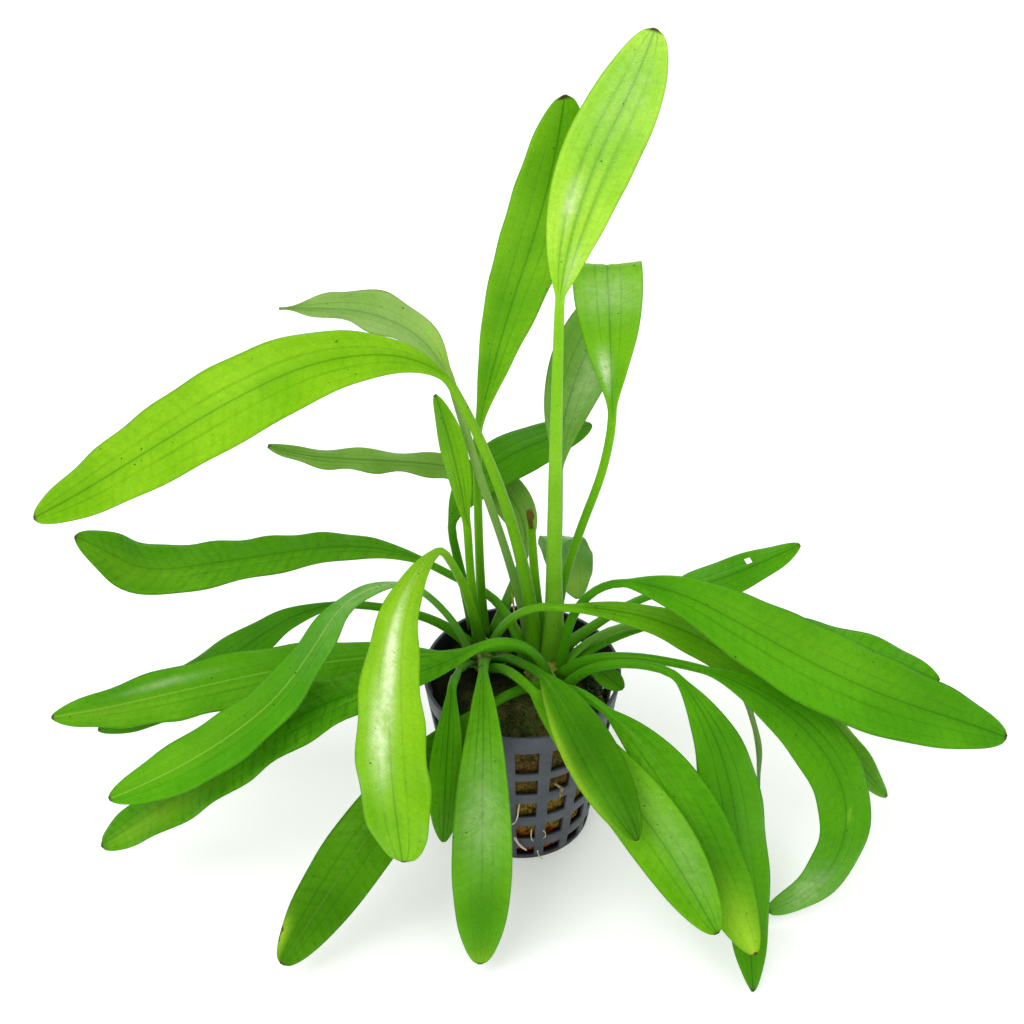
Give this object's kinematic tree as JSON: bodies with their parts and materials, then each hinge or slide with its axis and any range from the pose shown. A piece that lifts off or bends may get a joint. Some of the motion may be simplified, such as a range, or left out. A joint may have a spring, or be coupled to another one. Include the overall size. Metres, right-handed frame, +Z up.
{
  "type": "potted echinodorus",
  "caption": "Broad-leaved aquarium plant with long-stalked, arching leaves, rooted in mineral wool in a slotted net pot.",
  "frame": {"origin": "middle of the pot's underside, on the surface that it stands on", "axes": "+Z up; +X to the right in the picture and +Y away from its viewer"},
  "size_m": [0.2366, 0.1282, 0.2299],
  "materials": {
    "pot_plastic": "dark bluish grey moulded plastic, slightly glossy",
    "mineral_wool": "matted brown and olive mineral wool",
    "crown": "short fibrous stem",
    "leaf_bright": "bright yellow-green leaf with a soft gloss",
    "leaf_mid": "mid-green leaf with a soft gloss",
    "leaf_dark": "dark green leaf with a soft gloss",
    "leaf_grey": "grey-green underside of a leaf, duller",
    "stalk_dry": "cut stalk with a dry brown end"
  },
  "bodies": {
    "root": {"net_pot": "pot_plastic", "growing_medium": "mineral_wool", "crown_main": "crown", "crown_side": "crown", "leaf_tall_right": "leaf_bright", "leaf_tall_left": "leaf_mid", "leaf_folded_back": "leaf_mid", "leaf_upright_back": "leaf_grey", "leaf_upper_left_front": "leaf_bright", "leaf_upper_left_back": "leaf_grey", "leaf_small_upright": "leaf_dark", "leaf_back_right": "leaf_dark", "leaf_back_left": "leaf_grey", "leaf_back_hanging": "leaf_mid", "leaf_left_kinked": "leaf_mid", "leaf_left_behind": "leaf_dark", "leaf_left_long": "leaf_mid", "leaf_left_twisted": "leaf_mid", "leaf_left_broad": "leaf_mid", "leaf_front_left_bright": "leaf_bright", "leaf_front_left_low": "leaf_mid", "leaf_front_centre": "leaf_mid", "leaf_front_small": "leaf_dark", "leaf_right_big": "leaf_bright", "leaf_right_under": "leaf_dark", "leaf_right_holed": "leaf_mid", "leaf_right_back": "leaf_mid", "leaf_right_edge_on": "leaf_dark", "leaf_right_curled": "leaf_mid", "leaf_right_front": "leaf_bright", "leaf_front_right_top": "leaf_dark", "leaf_front_right_mid": "leaf_bright", "leaf_front_right_low": "leaf_mid", "leaf_on_the_rim": "leaf_dark", "stalk_cut_off": "stalk_dry"}
  },
  "joints": []
}
